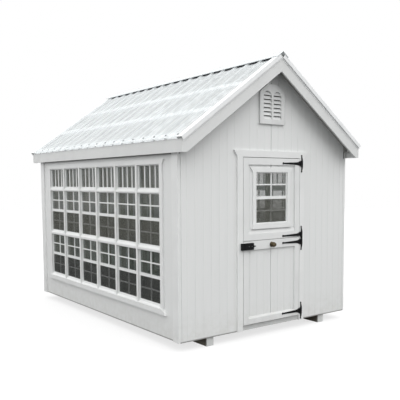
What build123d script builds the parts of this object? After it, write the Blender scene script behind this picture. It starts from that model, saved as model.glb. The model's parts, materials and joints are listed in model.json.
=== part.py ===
"""Timber greenhouse on skids: ribbed clear roof, two banks of windows and a two-leaf door in the front gable."""

import math
import os

from build123d import *

# Fits
seat = 0.3
swing_gap = 6.0

# Ground works and floor
skid_width = 89.0
skid_height = 89.0
skid_spacing = 1696.0
rim_reveal = 6.0
joist_height = 89.0
joist_thick = 38.0
joist_count = 9
rim_setback = 30.0
deck_thick = 16.0

# Wall shell
wall_width = 2438.0
end_pier = 358.0
siding_thick = 16.0
stud_depth = 89.0
stud_thick = 38.0
header_height = 195.0
board_thick = 19.0
corner_board_width = 109.0

# Window banks in the two long walls
column_count = 6
glass_width = 442.0
post_face = 36.0
sill_rise = 343.0
tall_glass_height = 545.0
row_gap = 74.0
transom_gap = 66.0
transom_height = 236.0
sash_face = 11.0
sash_depth = 30.0
sash_setback = 6.0
meeting_rail = 34.0
meeting_share = 0.505
glass_thick = 4.0
glass_setback = 10.0
bank_side_casing = 66.0
bank_head_height = 62.0
bank_sill_height = 98.0
bank_flare = 26.0
sill_flare = 46.0
bank_sill_thick = 30.0
sill_bevel = 30.0

# Roof
roof_rise_share = 0.72
rafter_bearing = 60.0
eave_overhang = 67.0
rake_overhang = 167.0
drip = 10.0
soffit_drop = 82.0
soffit_reveal = 68.0
soffit_thick = 12.0
rafter_depth = 89.0
rafter_thick = 38.0
rafter_count = 7
purlin_thick = 38.0
purlin_width = 89.0
purlin_shares = (0.02, 0.33, 0.668, 0.995)
barge_depth = 140.0
ridge_board_thick = 38.0
ridge_board_depth = 140.0

# Ribbed roof sheet, ridge cap and flashings
sheet_thick = 2.0
rib_pitch = 224.5
rib_shift = -74.0
rib_height = 19.0
rib_base = 62.0
rib_top = 24.0
ridge_gap = 22.0
cap_reach = 72.0
cap_rise = 4.0
cap_thick = 3.0
cap_overhang = 8.0
closure_depth = 24.0
closure_inset = 6.0
flashing_width = 72.0
flashing_thick = 2.0
flashing_bulge = 14.0
flashing_ledge = 18.0
flashing_lap = 16.0

# Door opening and its leaves
door_offset = 8.0
threshold_height = 57.0
threshold_recess = 5.0
leaf_width = 850.0
lower_leaf_height = 922.0
upper_leaf_height = 904.0
casing_width = 74.0
head_height = 72.0
head_flare = 46.0
stop_width = 20.0
stop_thick = 12.0
stile_width = 72.0
top_rail = 76.0
upper_bottom_rail = 111.0
upper_rail_slope = 42.0
lower_top_rail = 98.0
lower_bottom_rail = 80.0
lower_rail_slope = 20.0
rail_lip = 3.0

# Window in the upper leaf
leaf_window_margin = 36.0
leaf_window_rise = 12.0
leaf_window_drop = 29.0
leaf_window_casing = 58.0
leaf_window_head = 52.0
leaf_window_sill = 55.0
leaf_window_flare = 34.0
leaf_sill_flare = 14.0
leaf_casing_thick = 14.0
leaf_sill_thick = 22.0

# Strap hinges
pin_offset = 16.0
pin_radius = 5.0
knuckle_radius = 7.0
knuckle_height = 34.0
knuckle_play = 1.0
strap_length = 290.0
strap_root = 30.0
strap_tip = 15.0
strap_ball = 12.0
strap_thick = 4.0
fan_length = 58.0
fan_reach = 34.0
plate_height = 184.0
plate_width = 27.0
plate_neck = 12.0
finial_radius = 10.0
top_strap_drop = 55.0
upper_strap_rise = 23.0
lower_strap_drop = 52.0
bottom_strap_rise = 49.0

# Latch and knob on the lower leaf
latch_length = 126.0
latch_height = 73.0
latch_depth = 28.0
latch_drop = 55.0
keeper_length = 34.0
latch_tip_half = 11.0
latch_tip_length = 32.0
latch_tip_end = 3.0
knob_offset = -12.0
knob_radius = 29.0
knob_depth = 36.0
knob_neck_length = 18.0
knob_neck_radius = 11.0
rosette_radius = 30.0
rosette_thick = 5.0
knob_shares = ((1.0, 0.32), (0.75, 0.9), (0.0, 1.0))

# Louvred gable vents
vent_width = 367.0
vent_height = 433.0
vent_drop = 248.0
vent_depth = 24.0
vent_clip_width = 116.0
vent_clip_height = 82.0
vent_slot_gap = 30.0
vent_margin_side = 52.0
vent_margin_low = 50.0
vent_margin_high = 74.0
louvre_count = 7
louvre_thick = 3.0
louvre_drop_share = 0.8
vent_hole_margin = 30.0

# Walls worked out from the window bank
column_gap = post_face + 2 * sash_face
column_pitch = glass_width + column_gap
bank_length = column_count * glass_width + (column_count - 1) * column_gap
wall_length = bank_length + 2 * end_pier
half_width = wall_width / 2
half_length = wall_length / 2
side_face = half_width + siding_thick
inner_y = half_length - siding_thick
siding_bottom = skid_height + rim_reveal
floor_top = skid_height + joist_height + deck_thick
low_glass_bottom = siding_bottom + sill_rise
low_glass_top = low_glass_bottom + tall_glass_height
mid_glass_bottom = low_glass_top + row_gap
mid_glass_top = mid_glass_bottom + tall_glass_height
transom_bottom = mid_glass_top + transom_gap
transom_top = transom_bottom + transom_height
plate_top = transom_top + header_height

# Roof worked out from the plates of the long walls
slope_angle = math.atan(roof_rise_share)
slope_stretch = 1 / math.cos(slope_angle)
rafter_low_apex = plate_top + seat + (half_width - rafter_bearing) * roof_rise_share
rafter_top_apex = rafter_low_apex + rafter_depth * slope_stretch
apex_height = rafter_top_apex + purlin_thick * slope_stretch
soffit_height = plate_top - soffit_drop
soffit_low = soffit_height + soffit_reveal
soffit_high = soffit_low + soffit_thick
rake_face = half_length + rake_overhang
fascia_face = side_face + eave_overhang
fascia_back = fascia_face - board_thick - seat
barge_back = rake_face - board_thick - seat
flashing_face = rake_face + seat + flashing_thick
cap_lift = sheet_thick + rib_height + flashing_thick + seat + cap_rise
vent_top = rafter_top_apex - vent_drop
vent_bottom = vent_top - vent_height
vent_slot_width = (vent_width - vent_slot_gap) / 2 - vent_margin_side
vent_slot_height = vent_height - vent_margin_low - vent_margin_high

# Door worked out from its leaves
door_left = door_offset - leaf_width / 2
door_right = door_offset + leaf_width / 2
threshold_top = siding_bottom + threshold_height
leaf_bottom = threshold_top + swing_gap
lower_high = leaf_bottom + lower_leaf_height
upper_low = lower_high + swing_gap
leaf_top = upper_low + upper_leaf_height
opening_left = door_left - swing_gap
opening_right = door_right + swing_gap
opening_top = leaf_top + swing_gap
trim_face = -half_length - board_thick
leaf_casing_half = leaf_width / 2 - stile_width - leaf_window_margin - leaf_window_flare
leaf_glass_left = door_offset - leaf_casing_half + leaf_window_casing
leaf_glass_right = door_offset + leaf_casing_half - leaf_window_casing
leaf_sill_low = upper_low + upper_bottom_rail + leaf_window_rise
leaf_glass_bottom = leaf_sill_low + leaf_window_sill + sash_face
leaf_head_high = leaf_top - top_rail - leaf_window_drop
leaf_glass_top = leaf_head_high - leaf_window_head - sash_face
pin_x = door_right + pin_offset
pin_y = trim_face - knuckle_radius - seat
upper_strap_levels = (leaf_top - top_strap_drop, upper_low + upper_strap_rise)
lower_strap_levels = (lower_high - lower_strap_drop, leaf_bottom + bottom_strap_rise)
latch_level = lower_high - latch_drop


def block(x_low, x_high, y_low, y_high, z_low, z_high):
    """Square-edged piece between two corners."""
    piece = Box(x_high - x_low, y_high - y_low, z_high - z_low, align=(Align.MIN, Align.MIN, Align.MIN))
    return Pos(x_low, y_low, z_low) * piece


def panel_front(points, y_low, y_high):
    """Flat piece with an outline in x and z, carried from y_low to y_high."""
    outline = Polyline(*[(x, y_low, z) for x, z in points], close=True)
    return extrude(make_face(outline), amount=y_high - y_low, dir=(0, 1, 0))


def panel_side(points, x_low, x_high):
    """Flat piece with an outline in y and z, carried from x_low to x_high."""
    outline = Polyline(*[(x_low, y, z) for y, z in points], close=True)
    return extrude(make_face(outline), amount=x_high - x_low, dir=(1, 0, 0))


def slope_plane(down):
    """Plane square to the left roof slope at a distance down it: x runs to the front, y out of the roof."""
    run = math.cos(slope_angle)
    rise = math.sin(slope_angle)
    origin = (-down * run, 0, apex_height - down * rise)
    return Plane(origin=origin, x_dir=(0, -1, 0), z_dir=(-run, 0, -rise))


def down_slope(points, start, length):
    """Profile in the plane square to the left slope, carried down the slope."""
    face = make_face(Polyline(*points, close=True))
    return extrude(slope_plane(start) * face, amount=length)


def both_sides(pieces):
    """The pieces of the left side and their images on the right."""
    return pieces + [mirror(piece, about=Plane.YZ) for piece in pieces]


def both_ends(pieces):
    """The pieces of the front and their images at the back."""
    return pieces + [mirror(piece, about=Plane.XZ) for piece in pieces]


def line_height(apex, x):
    """Height of a roof line at a distance x from the ridge."""
    return apex - abs(x) * roof_rise_share


def save(name, pieces):
    """One node: a single solid, or several that stay apart."""
    shape = pieces[0] if len(pieces) == 1 else Compound(children=pieces)
    export_step(shape, os.path.join("parts", name + ".step"))


def skids():
    half = skid_width / 2
    centre = skid_spacing / 2
    return both_sides([block(-centre - half, -centre + half, -inner_y, inner_y, 0, skid_height)])


def floor_frame():
    """Rim boards with joists between them, laid on the skids."""
    low = skid_height
    high = skid_height + joist_height
    side = half_width - rim_setback
    end = inner_y - swing_gap
    pieces = both_ends([block(-side, side, -end, -end + joist_thick, low, high)])
    first = -end + joist_thick + seat
    bay = (2 * -first - joist_thick) / (joist_count - 1)
    reach = side - joist_thick - seat
    for index in range(joist_count):
        start = first + bay * index
        pieces.append(block(-reach, reach, start, start + joist_thick, low, high))
    rim = block(-side, -side + joist_thick, first, -first, low, high)
    return pieces + both_sides([rim])


def floor_deck():
    side = half_width - rim_setback
    end = inner_y - swing_gap
    low = skid_height + joist_height
    return [block(-side, side, -end, end, low, floor_top)]


def gable_outline(x_low, x_high, z_low):
    """Siding outline under the roof between two distances from the ridge."""
    apex = rafter_top_apex - seat
    points = [(x_low, z_low), (x_high, z_low), (x_high, line_height(apex, x_high))]
    if x_low < 0 < x_high:
        points.append((0, apex))
    return points + [(x_low, line_height(apex, x_low))]


def vent_outline(inset):
    """Vent outline with clipped upper corners, drawn in by an inset."""
    side = vent_width / 2 - inset
    low = vent_bottom + inset
    top = vent_top - inset
    shoulder = top - vent_clip_height + inset / 2
    crown = side - vent_clip_width + inset / 2
    return [(-side, low), (side, low), (side, shoulder), (crown, top), (-crown, top), (-side, shoulder)]


def vent_hole():
    return panel_front(vent_outline(vent_hole_margin), -half_length - board_thick, -inner_y + siding_thick)


def front_wall_left():
    return [panel_front(gable_outline(-half_width, opening_left, siding_bottom), -half_length, -inner_y)]


def front_wall_right():
    return [panel_front(gable_outline(opening_right, half_width, siding_bottom), -half_length, -inner_y)]


def front_wall_gable():
    low = opening_left + seat
    high = opening_right - seat
    wall = panel_front(gable_outline(low, high, opening_top), -half_length, -inner_y)
    return [wall - vent_hole()]


def back_wall():
    wall = panel_front(gable_outline(-half_width, half_width, siding_bottom), inner_y, half_length)
    return [wall - mirror(vent_hole(), about=Plane.XZ)]


def bank_edges():
    """Ends of the window bank along the wall, at the glass."""
    return -bank_length / 2, bank_length / 2


def column_starts():
    return [column_pitch * index - bank_length / 2 for index in range(column_count)]


def rows():
    return [(low_glass_bottom, low_glass_top), (mid_glass_bottom, mid_glass_top), (transom_bottom, transom_top)]


def left_wall():
    """Siding below, above and at both ends of the window bank, lapping the edges of the gable siding."""
    start, end = bank_edges()
    start = start - sash_face - seat
    end = end + sash_face + seat
    low = low_glass_bottom - sash_face - seat
    high = transom_top + sash_face + seat
    top = soffit_high
    x_low = -side_face
    x_high = -half_width - seat
    return [
        block(x_low, x_high, -half_length, half_length, siding_bottom, low),
        block(x_low, x_high, -half_length, half_length, high, top),
        block(x_low, x_high, -half_length, start, low + seat, high - seat),
        block(x_low, x_high, end, half_length, low + seat, high - seat),
    ]


def side_studs():
    """Plates and studs behind one long wall, with a stud behind each post of the window bank."""
    x_low = -half_width + seat
    x_high = x_low + stud_depth
    end = inner_y - stud_depth - seat
    low = floor_top + stud_thick + seat
    high = plate_top - stud_thick - seat
    plates = [
        block(x_low, x_high, -end, end, floor_top, floor_top + stud_thick),
        block(x_low, x_high, -end, end, plate_top - stud_thick, plate_top),
    ]
    half_post = post_face / 2
    centres = [start - column_gap / 2 for start in column_starts()[1:]]
    posts = [block(x_low, x_high, c - half_post, c + half_post, low, high) for c in centres]
    first, last = bank_edges()
    outer = column_gap / 2 + stud_thick / 2
    ends = [first - outer, last + outer, -end + stud_thick / 2, end - stud_thick / 2]
    studs = [block(x_low, x_high, c - stud_thick / 2, c + stud_thick / 2, low, high) for c in ends]
    return plates + posts + studs


def gable_stud(centre, low):
    """Upright from a level up to the underside of the end rafter."""
    apex = rafter_low_apex - seat
    x_low = centre - stud_thick / 2
    x_high = centre + stud_thick / 2
    points = [(x_low, low), (x_high, low), (x_high, line_height(apex, x_high)), (x_low, line_height(apex, x_low))]
    return panel_front(points, -inner_y + seat, -inner_y + stud_depth)


def gable_studs():
    """Uprights and bottom plates of the two gable walls, with a header over the doorway."""
    y_low = -inner_y + seat
    y_high = -inner_y + stud_depth
    half = stud_thick / 2
    low = floor_top + stud_thick + seat
    corner = half_width - seat - half
    plate_end = half_width - seat
    header_low = opening_top
    header_high = opening_top + stud_depth
    left = opening_left - half
    right = opening_right + half
    front = [gable_stud(c, low) for c in (-corner, left, right, corner, (left - corner) / 2, (right + corner) / 2)]
    front.append(block(-plate_end, opening_left, y_low, y_high, floor_top, floor_top + stud_thick))
    front.append(block(opening_right, plate_end, y_low, y_high, floor_top, floor_top + stud_thick))
    front.append(block(opening_left + seat, opening_right - seat, y_low, y_high, header_low, header_high))
    vent_post = vent_width / 2 + half
    front += [gable_stud(c, header_high + seat) for c in (-vent_post, vent_post)]
    back = [gable_stud(c, low) for c in (-corner, -corner / 2, corner / 2, corner, -vent_post, vent_post)]
    back.append(block(-plate_end, plate_end, y_low, y_high, floor_top, floor_top + stud_thick))
    return front + [mirror(piece, about=Plane.XZ) for piece in back]


def corner_boards():
    """Upright boards on the long walls, their edges flush with the face of the gable siding."""
    x_low = -side_face - board_thick
    x_high = -side_face - seat
    top = soffit_low - seat
    board = block(x_low, x_high, -half_length, -half_length + corner_board_width, siding_bottom, top)
    return both_sides(both_ends([board]))


def bank_trim():
    """Casing around one window bank: flared head and sill, side boards, posts, rails, and sloping window sills."""
    x_low = -side_face - board_thick
    x_high = -side_face - seat
    x_deep = -half_width
    x_sash = -side_face + sash_setback
    first, last = bank_edges()
    start = first - bank_side_casing
    end = last + bank_side_casing
    head_low = transom_top + sash_face
    head_high = transom_top + bank_head_height
    sill_top = low_glass_bottom - sash_face
    sill_high = sill_top - sill_bevel
    sill_low = low_glass_bottom - bank_sill_height
    flare = bank_flare
    head = [(start, head_low), (end, head_low), (end + flare, head_high), (start - flare, head_high)]
    flare = sill_flare
    sill = [(start - flare, sill_low), (end + flare, sill_low), (end, sill_high), (start, sill_high)]
    foot = sill_high + seat
    low = sill_top + seat
    high = head_low - seat
    pieces = [panel_side(head, x_low, x_high), panel_side(sill, -side_face - bank_sill_thick, x_high)]
    pieces.append(block(x_low, x_high, start, first - sash_face, foot, high))
    pieces.append(block(x_low, x_high, last + sash_face, end, foot, high))
    half_post = post_face / 2
    for opening in column_starts()[1:]:
        y_low = opening - column_gap / 2 - half_post
        y_high = y_low + post_face
        pieces.append(block(x_low, x_high, y_low, y_high, foot, high) + block(x_high, x_deep, y_low, y_high, low, high))
    pitch_share = sill_bevel / (x_sash - x_low)
    profiles = [[(x_low, foot), (x_high, foot), (x_high, sill_top - (x_sash - x_high) * pitch_share)]]
    for below, above in ((low_glass_top, mid_glass_bottom), (mid_glass_top, transom_bottom)):
        rail_low = below + sash_face
        rail_high = above - sash_face
        rail = [(x_low, rail_low), (x_deep, rail_low), (x_deep, rail_high), (x_sash, rail_high)]
        profiles.append(rail + [(x_low, rail_high - sill_bevel)])
    for opening in column_starts():
        y_low = opening - sash_face + seat
        y_high = opening + glass_width + sash_face - seat
        pieces += [panel_front(profile, y_low, y_high) for profile in profiles]
    return pieces


def sash_ring(y_low, y_high, z_low, z_high):
    """White window frame around one pane or pair of panes."""
    edge = sash_face - seat
    x_low = -side_face + sash_setback
    outer = block(x_low, x_low + sash_depth, y_low - edge, y_high + edge, z_low - edge, z_high + edge)
    return outer - block(x_low, x_low + sash_depth, y_low, y_high, z_low, z_high)


def meeting_levels(z_low, z_high):
    centre = z_low + (z_high - z_low) * meeting_share
    return centre - meeting_rail / 2, centre + meeting_rail / 2


def bank_sashes():
    """Frames of one bank: the tall ones carry a meeting rail between their two panes."""
    pieces = []
    x_low = -side_face + sash_setback
    for y_low in column_starts():
        y_high = y_low + glass_width
        for z_low, z_high in rows()[:2]:
            rail_low, rail_high = meeting_levels(z_low, z_high)
            rail = block(x_low, x_low + sash_depth, y_low, y_high, rail_low, rail_high)
            pieces.append(sash_ring(y_low, y_high, z_low, z_high) + rail)
        pieces.append(sash_ring(y_low, y_high, transom_bottom, transom_top))
    return pieces


def bank_glass():
    pieces = []
    x_low = -side_face + sash_setback + glass_setback
    x_high = x_low + glass_thick
    for start in column_starts():
        y_low = start + seat
        y_high = start + glass_width - seat
        for z_low, z_high in rows()[:2]:
            rail_low, rail_high = meeting_levels(z_low, z_high)
            pieces.append(block(x_low, x_high, y_low, y_high, z_low + seat, rail_low - seat))
            pieces.append(block(x_low, x_high, y_low, y_high, rail_high + seat, z_high - seat))
        pieces.append(block(x_low, x_high, y_low, y_high, transom_bottom + seat, transom_top - seat))
    return pieces


def rafters():
    """Pairs of rafters with a level seat on the wall plate and a level tail over the soffit."""
    tail = fascia_back
    seat_level = plate_top + seat
    tail_level = soffit_high + seat
    near = ridge_board_thick / 2 + seat
    top = rafter_top_apex - seat
    points = [
        (-near, line_height(top, near)),
        (-tail, line_height(top, tail)),
        (-tail, tail_level),
        (-half_width, tail_level),
        (-half_width, seat_level),
        (rafter_bearing - half_width, seat_level),
        (-near, line_height(rafter_low_apex, near)),
    ]
    first = -inner_y + seat
    bay = (2 * -first - rafter_thick) / (rafter_count - 1)
    pieces = []
    for index in range(rafter_count):
        start = first + bay * index
        pieces.append(panel_front(points, start, start + rafter_thick))
    return both_sides(pieces)


def ridge_board():
    half = ridge_board_thick / 2
    top = line_height(rafter_top_apex, half)
    end = inner_y - seat
    return [block(-half, half, -end, end, top - ridge_board_depth, top)]


def slope_length():
    """Distance down the slope from the ridge to the outer face of the fascia."""
    return fascia_face * slope_stretch


def purlins():
    """Flat battens along the roof that carry the sheets and the barge boards."""
    usable = slope_length() - board_thick * slope_stretch - purlin_width
    profile = [(-barge_back, -purlin_thick), (barge_back, -purlin_thick), (barge_back, -seat), (-barge_back, -seat)]
    return both_sides([down_slope(profile, usable * share, purlin_width) for share in purlin_shares])


def soffits():
    """Boards that close the roof from below: level along the eaves, sloping under the roof ends, upright at corners."""
    eave = block(-fascia_back, -side_face - seat, -barge_back, barge_back, soffit_low, soffit_high)
    high = -purlin_thick - seat
    low = high - soffit_thick
    near = half_length + seat
    profile = [(near, low), (barge_back, low), (barge_back, high), (near, high)]
    start = -low * roof_rise_share + seat
    end = fascia_back * slope_stretch - high * roof_rise_share
    rake = down_slope(profile, start, end - start)
    inner = half_width + seat
    level = soffit_high + seat
    top = rafter_top_apex - seat
    corner = [(-fascia_back, level), (-inner, level), (-inner, line_height(top, inner))]
    corner.append((-fascia_back, line_height(top, fascia_back)))
    return both_sides([eave] + both_ends([rake, panel_front(corner, -half_length, -inner_y)]))


def rib_centres():
    """Places of the ribs along the roof, as many as fit between the flashings."""
    limit = rake_face - flashing_width - rib_base / 2
    first = math.ceil((-limit - rib_shift) / rib_pitch)
    last = math.floor((limit - rib_shift) / rib_pitch)
    return [rib_shift + rib_pitch * index for index in range(first, last + 1)]


def roof_sheet():
    """Clear sheet on the left slope with raised ribs running from ridge to eave."""
    half_base = rib_base / 2
    half_top = rib_top / 2
    upper = [(-rake_face, sheet_thick)]
    lower = [(-rake_face, 0)]
    for centre in rib_centres():
        upper += [
            (centre - half_base, sheet_thick),
            (centre - half_top, sheet_thick + rib_height),
            (centre + half_top, sheet_thick + rib_height),
            (centre + half_base, sheet_thick),
        ]
        lower += [
            (centre - half_base + sheet_thick, 0),
            (centre - half_top + sheet_thick / 2, rib_height),
            (centre + half_top - sheet_thick / 2, rib_height),
            (centre + half_base - sheet_thick, 0),
        ]
    upper.append((rake_face, sheet_thick))
    lower.append((rake_face, 0))
    length = (fascia_face + drip) * slope_stretch - ridge_gap
    return [down_slope(lower + upper[::-1], ridge_gap, length)]


def slope_point(down, out):
    """Point in x and z at a distance down the left slope and out from it."""
    run = math.cos(slope_angle)
    rise = math.sin(slope_angle)
    return -down * run - out * rise, apex_height - down * rise + out * run


def ridge_cap():
    """Cap over the ridge, laid on the flashings, with its two legs turned down at the edges."""
    hem = cap_lift - cap_rise
    left = [
        slope_point(cap_reach, cap_lift),
        slope_point(cap_reach, hem),
        slope_point(cap_reach + cap_thick, hem),
        slope_point(cap_reach + cap_thick, cap_lift + cap_thick),
    ]
    right = [(-x, z) for x, z in left[::-1]]
    inner = (0, apex_height + cap_lift * slope_stretch)
    outer = (0, apex_height + (cap_lift + cap_thick) * slope_stretch)
    end = flashing_face + flashing_bulge + cap_overhang
    return [panel_front([inner] + left + [outer] + right, -end, end)]


def ridge_closures():
    """Dark blocks between the ribs, and between the ribs and the flashings, under the edge of the ridge cap."""
    low = sheet_thick + seat
    high = cap_lift - seat
    edge = rake_face - flashing_width
    half_base = rib_base / 2
    starts = [-edge] + [centre + half_base for centre in rib_centres()]
    ends = [centre - half_base for centre in rib_centres()] + [edge]
    pieces = []
    for start, end in zip(starts, ends):
        if end - start > closure_depth:
            profile = [(start + seat, low), (end - seat, low), (end - seat, high), (start + seat, high)]
            pieces.append(down_slope(profile, cap_reach - closure_inset - closure_depth, closure_depth))
    return both_sides(pieces)


def fascias():
    top = line_height(apex_height, fascia_face) - seat
    board = block(-fascia_face, -fascia_face + board_thick, -barge_back, barge_back, soffit_height, top)
    return both_sides([board])


def barge_boards():
    """Sloping boards that close the roof ends, cut plumb at the ridge and level at the tail."""
    top = apex_height - seat
    low = apex_height - barge_depth * slope_stretch
    tail_x = (low - soffit_height) / roof_rise_share
    near = seat / 2
    points = [
        (-near, line_height(top, near)),
        (-fascia_face, line_height(top, fascia_face)),
        (-fascia_face, soffit_height),
        (-tail_x, soffit_height),
        (-near, line_height(low, near)),
    ]
    return both_sides(both_ends([panel_front(points, -rake_face, -rake_face + board_thick)]))


def rake_flashings():
    """White metal trim over each roof end: a box over the sheet, a ledge and a lip that laps the barge board."""
    t = flashing_thick
    lip = flashing_face
    out = lip + flashing_bulge
    back = rake_face - flashing_width
    high = sheet_thick + rib_height + t
    low = sheet_thick + seat
    ledge = -flashing_ledge
    tail = ledge - flashing_lap
    profile = [
        (back, low),
        (back, high),
        (out, high),
        (out, ledge),
        (lip, ledge),
        (lip, tail),
        (lip - t, tail),
        (lip - t, ledge + t),
        (out - t, ledge + t),
        (out - t, high - t),
        (back + t, high - t),
        (back + t, low),
    ]
    length = (fascia_face + drip) * slope_stretch - ridge_gap
    return both_sides(both_ends([down_slope(profile, ridge_gap, length)]))


def vent_slot(centre, inset):
    """Louvre opening with a round head, drawn in by an inset."""
    half = vent_slot_width / 2 - inset
    low = vent_bottom + vent_margin_low + inset
    spring = vent_bottom + vent_margin_low + vent_slot_height - vent_slot_width / 2
    y_low = -half_length - board_thick - vent_depth
    y_high = -inner_y + siding_thick
    slot = block(centre - half, centre + half, y_low, y_high, low, spring)
    head = Plane(origin=(centre, y_high, spring), z_dir=(0, -1, 0)) * Cylinder(
        half, y_high - y_low, align=(Align.CENTER, Align.CENTER, Align.MIN)
    )
    return slot + head


def gable_vent():
    """Vent plate with two round-headed openings and sloping louvre blades in each."""
    face = -half_length - vent_depth
    back = -half_length - seat
    plate = panel_front(vent_outline(0), face, back)
    step = vent_slot_height / louvre_count
    drop = step * louvre_drop_share
    blades = []
    for side in (-1, 1):
        centre = side * (vent_slot_width + vent_slot_gap) / 2
        plate = plate - vent_slot(centre, 0)
        half = vent_slot_width / 2
        for index in range(louvre_count):
            low = vent_bottom + vent_margin_low + step * index
            points = [
                (face + louvre_thick, low + seat),
                (back - louvre_thick, low + drop),
                (back - louvre_thick, low + drop + louvre_thick),
                (face + louvre_thick, low + louvre_thick),
            ]
            blades.append(panel_side(points, centre - half, centre + half) & vent_slot(centre, seat))
    return [plate] + blades


def door_casing():
    """Side boards and flared head around the doorway, with stops behind the leaves."""
    face = trim_face
    back = -half_length - seat
    low = siding_bottom
    head = [
        (opening_left - casing_width, opening_top),
        (opening_right + casing_width, opening_top),
        (opening_right + casing_width + head_flare, opening_top + head_height),
        (opening_left - casing_width - head_flare, opening_top + head_height),
    ]
    high = opening_top - seat
    left = opening_left + stop_width
    right = opening_right - stop_width
    near = -inner_y + swing_gap
    far = near + stop_thick
    foot = floor_top + seat
    return [
        block(opening_left - casing_width, opening_left, face, back, low, high),
        block(opening_right, opening_right + casing_width, face, back, low, high),
        panel_front(head, face, back),
        block(opening_left + seat, left, near, far, foot, high),
        block(right, opening_right - seat, near, far, foot, high),
        block(left + seat, right - seat, near, far, opening_top - stop_width, high),
    ]


def threshold():
    """Painted board under the leaves, set back from the face of the siding."""
    face = -half_length + threshold_recess
    back = -inner_y + swing_gap - seat
    return [block(opening_left + seat, opening_right - seat, face, back, siding_bottom, threshold_top)]


def leaf_panel(z_low, z_high):
    return block(door_left, door_right, -half_length, -inner_y, z_low, z_high)


def sloped_rail(x_low, x_high, z_low, height, slope):
    """Rail whose upper edge falls from a thin lip on the panel to its face."""
    back = -half_length - seat
    lip = back - rail_lip
    high = z_low + height
    points = [(back, z_low), (back, high), (lip, high), (trim_face, high - slope), (trim_face, z_low)]
    return panel_side(points, x_low, x_high)


def leaf_frame(z_low, z_high, low_rail, low_slope, high_rail):
    """Stiles and rails on the face of a leaf, the lower rail with a sloping upper edge."""
    face = trim_face
    back = -half_length - seat
    inner_left = door_left + stile_width
    inner_right = door_right - stile_width
    return [
        block(door_left, inner_left, face, back, z_low, z_high),
        block(inner_right, door_right, face, back, z_low, z_high),
        sloped_rail(inner_left + seat, inner_right - seat, z_low, low_rail, low_slope),
        block(inner_left + seat, inner_right - seat, face, back, z_high - high_rail, z_high),
    ]


def upper_leaf_panel():
    edge = sash_face
    hole = block(
        leaf_glass_left - edge,
        leaf_glass_right + edge,
        -half_length - board_thick,
        -inner_y + siding_thick,
        leaf_glass_bottom - edge,
        leaf_glass_top + edge,
    )
    return [leaf_panel(upper_low, leaf_top) - hole]


def upper_leaf_frame():
    return leaf_frame(upper_low, leaf_top, upper_bottom_rail, upper_rail_slope, top_rail)


def lower_leaf_panel():
    return [leaf_panel(leaf_bottom, lower_high)]


def lower_leaf_frame():
    return leaf_frame(leaf_bottom, lower_high, lower_bottom_rail, lower_rail_slope, lower_top_rail)


def leaf_window_trim():
    """Casing around the window in the upper leaf, with a flared head and a sill."""
    face = -half_length - leaf_casing_thick
    sill_face = -half_length - leaf_sill_thick
    back = -half_length - seat
    left = door_offset - leaf_casing_half
    right = door_offset + leaf_casing_half
    head_low = leaf_glass_top + sash_face
    head_high = leaf_head_high
    sill_high = leaf_glass_bottom - sash_face
    flare = leaf_window_flare
    head = [(left, head_low), (right, head_low), (right + flare, head_high), (left - flare, head_high)]
    flare = leaf_sill_flare
    sill = [(left - flare, leaf_sill_low), (right + flare, leaf_sill_low), (right, sill_high), (left, sill_high)]
    low = sill_high + seat
    high = head_low - seat
    return [
        panel_front(head, face, back),
        panel_front(sill, sill_face, back),
        block(left, leaf_glass_left - sash_face, face, back, low, high),
        block(leaf_glass_right + sash_face, right, face, back, low, high),
    ]


def leaf_window_sash():
    """White frame of the leaf window with its meeting rail."""
    edge = sash_face - seat
    y_low = -half_length + seat
    y_high = y_low + sash_depth
    outer = block(
        leaf_glass_left - edge, leaf_glass_right + edge, y_low, y_high, leaf_glass_bottom - edge, leaf_glass_top + edge
    )
    hole = block(leaf_glass_left, leaf_glass_right, y_low, y_high, leaf_glass_bottom, leaf_glass_top)
    rail_low, rail_high = meeting_levels(leaf_glass_bottom, leaf_glass_top)
    rail = block(leaf_glass_left, leaf_glass_right, y_low, y_high, rail_low, rail_high)
    return [(outer - hole) + rail]


def leaf_window_glass():
    y_low = -half_length + glass_setback
    y_high = y_low + glass_thick
    left = leaf_glass_left + seat
    right = leaf_glass_right - seat
    rail_low, rail_high = meeting_levels(leaf_glass_bottom, leaf_glass_top)
    return [
        block(left, right, y_low, y_high, leaf_glass_bottom + seat, rail_low - seat),
        block(left, right, y_low, y_high, rail_high + seat, leaf_glass_top - seat),
    ]


def strap(level, fan_low):
    """Slender strap with a ball at its tip, fanned out at its root to a knuckle around the hinge pin."""
    half_root = strap_root / 2
    half_tip = strap_tip / 2
    back = trim_face - seat
    face = back - strap_thick
    root_x = pin_x - pin_radius - knuckle_play
    neck_x = root_x - fan_length
    waist_x = (root_x + neck_x) / 2
    tip_x = pin_x - strap_length + strap_ball
    points = [
        (root_x, level + fan_reach),
        (waist_x, level + (fan_reach + 3 * half_root) / 4),
        (neck_x, level + half_root),
        (tip_x, level + half_tip),
        (tip_x, level - half_tip),
        (neck_x, level - half_root),
        (waist_x, level - (fan_low + 3 * half_root) / 4),
        (root_x, level - fan_low),
    ]
    blade = panel_front(points, face, back)
    ball = Plane(origin=(tip_x, back, level), z_dir=(0, -1, 0)) * Cylinder(
        strap_ball, strap_thick, align=(Align.CENTER, Align.CENTER, Align.MIN)
    )
    half_knuckle = knuckle_height / 2
    tongue = block(root_x, pin_x - knuckle_radius / 2, face, back, level - half_knuckle, level + half_knuckle)
    barrel = Pos(pin_x, pin_y, level) * Cylinder(knuckle_radius, knuckle_height)
    return blade + ball + tongue + barrel


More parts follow.
